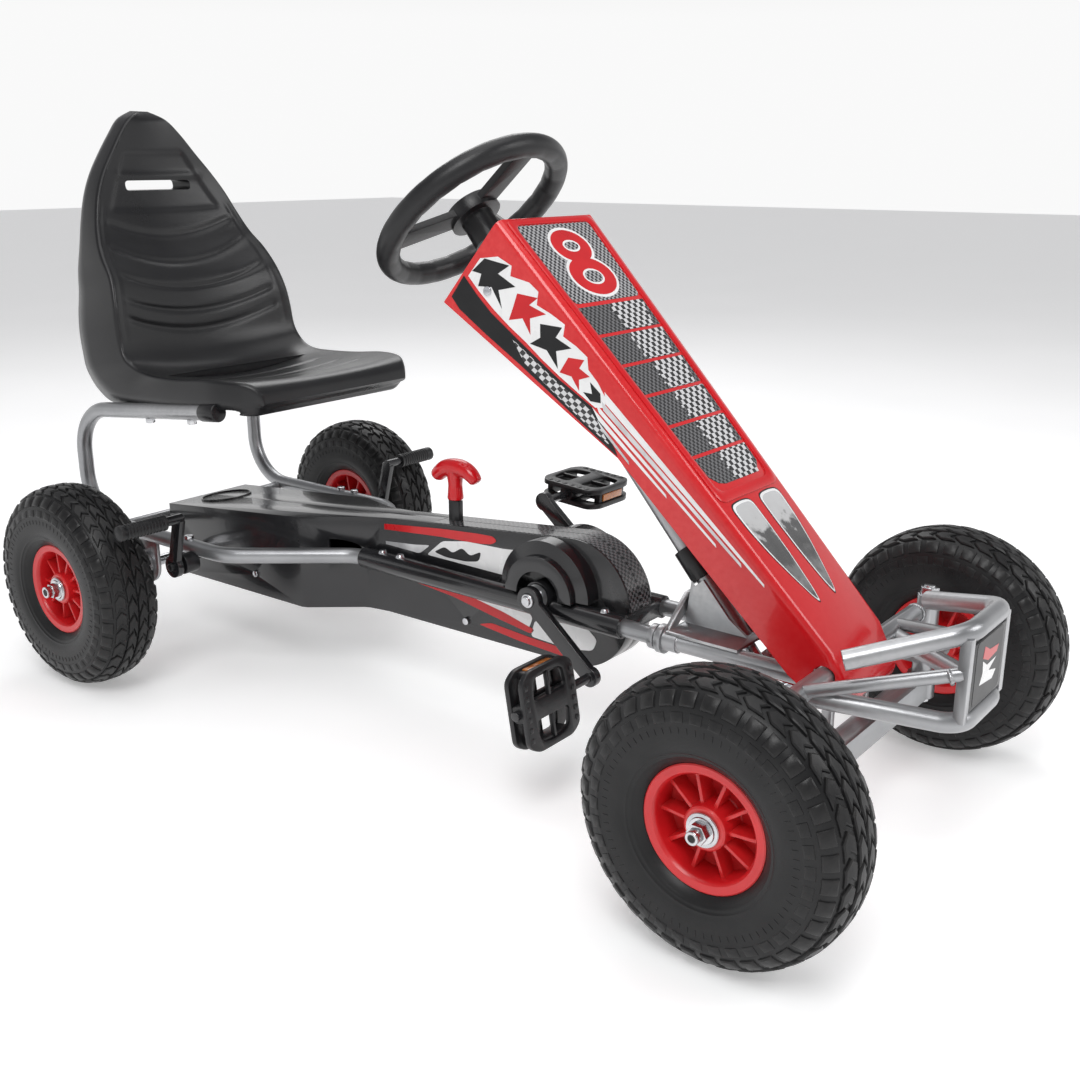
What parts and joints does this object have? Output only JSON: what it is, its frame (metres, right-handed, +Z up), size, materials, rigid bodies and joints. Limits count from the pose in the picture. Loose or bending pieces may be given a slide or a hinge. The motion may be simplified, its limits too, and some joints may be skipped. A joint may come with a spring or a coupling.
{
  "type": "pedal go kart",
  "caption": "Pedal go kart with a moulded bucket seat, tubular frame, bonnet over the steering column, enclosed chain drive, hand brakes and block-tread tyres.",
  "frame": {"origin": "on the ground under the middle of the kart, at the centre of the bounding box", "axes": "+X forward, +Y to the rider's left, +Z up"},
  "size_m": [1.232, 0.6008, 0.713],
  "materials": {
    "silver_paint": "satin",
    "black_paint": "satin",
    "grey_steel": "satin",
    "zinc": "bright zinc",
    "black_plastic": "satin",
    "red_plastic": "gloss",
    "tyre_rubber": "matte",
    "soft_grip": "matte"
  },
  "bodies": {
    "chassis": {"frame_side_left": "silver_paint", "frame_side_right": "silver_paint", "rear_carrier": "silver_paint", "rear_axle_bearings": "grey_steel", "centre_frame": "black_paint", "crank_bearings": "grey_steel", "front_frame": "silver_paint", "kingpins": "zinc", "column_base": "grey_steel", "column_tube": "silver_paint", "column_bushes": "black_plastic", "bumper_upper": "silver_paint", "bumper_lower": "silver_paint", "bumper_braces": "silver_paint", "bumper_plate": "black_plastic", "bonnet": "red_plastic", "cover_screws": "zinc", "chain_case_right": "black_plastic", "chain_case_left": "black_plastic", "chain": "grey_steel", "seat": "black_plastic", "frame_bolts": "zinc", "tube_end_caps": "black_plastic", "brake_brackets": "black_paint"},
    "steering": {"steering_wheel_rim": "soft_grip", "steering_wheel_spider": "black_plastic", "steering_shaft": "zinc"},
    "knuckle_left_body": {"knuckle_left": "silver_paint", "front_left_nut": "zinc"},
    "knuckle_right_body": {"knuckle_right": "silver_paint", "front_right_nut": "zinc"},
    "tie_rod_left_body": {"tie_rod_left": "zinc"},
    "tie_rod_right_body": {"tie_rod_right": "zinc"},
    "wheel_front_left": {"tyre_front_left": "tyre_rubber", "rim_front_left": "red_plastic", "bearings_front_left": "grey_steel"},
    "wheel_front_right": {"tyre_front_right": "tyre_rubber", "rim_front_right": "red_plastic", "bearings_front_right": "grey_steel"},
    "rear_axle_body": {"rear_axle": "zinc", "rear_sprocket": "grey_steel", "rear_axle_nuts": "zinc", "tyre_rear_left": "tyre_rubber", "rim_rear_left": "red_plastic"},
    "wheel_rear_right": {"tyre_rear_right": "tyre_rubber", "rim_rear_right": "red_plastic", "bearings_rear_right": "grey_steel"},
    "crank": {"crank_axle": "zinc", "chainring": "grey_steel", "crank_arms": "black_paint"},
    "pedal_left_body": {"pedal_left": "black_plastic"},
    "pedal_right_body": {"pedal_right": "black_plastic"},
    "gear_lever_body": {"gear_lever": "black_paint", "gear_knob": "red_plastic"},
    "brake_left": {"brake_lever_left": "black_paint", "brake_grip_left": "soft_grip"},
    "brake_right": {"brake_lever_right": "black_paint", "brake_grip_right": "soft_grip"}
  },
  "joints": [
    {"name": "steering_turn", "type": "hinge", "parent": "chassis", "child": "steering", "pos_m": [0.002, 0, 0.594], "axis": [0.6561, 0, -0.7547], "range_deg": [-24, 24]},
    {"name": "left_kingpin", "type": "hinge", "parent": "chassis", "child": "knuckle_left_body", "pos_m": [0.49, 0.172, 0.13], "axis": [0, 0, 1], "range_deg": [-20, 20]},
    {"name": "right_kingpin", "type": "hinge", "parent": "chassis", "child": "knuckle_right_body", "pos_m": [0.49, -0.172, 0.13], "axis": [0, 0, 1], "range_deg": [-20, 20]},
    {"name": "left_tie_rod_pin", "type": "hinge", "parent": "knuckle_left_body", "child": "tie_rod_left_body", "pos_m": [0.43, 0.166, 0.134], "axis": [0, 0, 1], "range_deg": [-22, 22]},
    {"name": "right_tie_rod_pin", "type": "hinge", "parent": "knuckle_right_body", "child": "tie_rod_right_body", "pos_m": [0.43, -0.166, 0.134], "axis": [0, 0, 1], "range_deg": [-22, 22]},
    {"name": "front_left_roll", "type": "hinge", "parent": "knuckle_left_body", "child": "wheel_front_left", "pos_m": [0.486, 0.2535, 0.13], "axis": [0, 1, 0], "continuous": true},
    {"name": "front_right_roll", "type": "hinge", "parent": "knuckle_right_body", "child": "wheel_front_right", "pos_m": [0.486, -0.2535, 0.13], "axis": [0, 1, 0], "continuous": true},
    {"name": "rear_axle_roll", "type": "hinge", "parent": "chassis", "child": "rear_axle_body", "pos_m": [-0.46, 0, 0.13], "axis": [0, 1, 0], "continuous": true},
    {"name": "rear_right_roll", "type": "hinge", "parent": "rear_axle_body", "child": "wheel_rear_right", "pos_m": [-0.46, -0.251, 0.13], "axis": [0, 1, 0], "continuous": true},
    {"name": "crank_turn", "type": "hinge", "parent": "chassis", "child": "crank", "pos_m": [0.134, 0, 0.188], "axis": [0, 1, 0], "continuous": true},
    {"name": "left_pedal_spin", "type": "hinge", "parent": "crank", "child": "pedal_left_body", "pos_m": [0.05127, 0.149, 0.25742], "axis": [0, 1, 0], "continuous": true},
    {"name": "right_pedal_spin", "type": "hinge", "parent": "crank", "child": "pedal_right_body", "pos_m": [0.21673, -0.149, 0.11858], "axis": [0, 1, 0], "continuous": true},
    {"name": "gear_select", "type": "hinge", "parent": "chassis", "child": "gear_lever_body", "pos_m": [-0.033, 0, 0.227], "axis": [0, 1, 0], "range_deg": [-12, 12]},
    {"name": "left_brake_pull", "type": "hinge", "parent": "chassis", "child": "brake_left", "pos_m": [-0.348, 0.183, 0.158], "axis": [0, -1, 0], "range_deg": [0, 20]},
    {"name": "right_brake_pull", "type": "hinge", "parent": "chassis", "child": "brake_right", "pos_m": [-0.348, -0.183, 0.158], "axis": [0, -1, 0], "range_deg": [0, 20]}
  ],
  "couplings": [
    {"joint": "left_kingpin", "follows": "steering_turn", "ratio": -0.75},
    {"joint": "right_kingpin", "follows": "steering_turn", "ratio": -0.75},
    {"joint": "left_tie_rod_pin", "follows": "steering_turn", "ratio": 0.8},
    {"joint": "right_tie_rod_pin", "follows": "steering_turn", "ratio": 0.8},
    {"joint": "crank_turn", "follows": "rear_axle_roll", "ratio": 0.5}
  ]
}
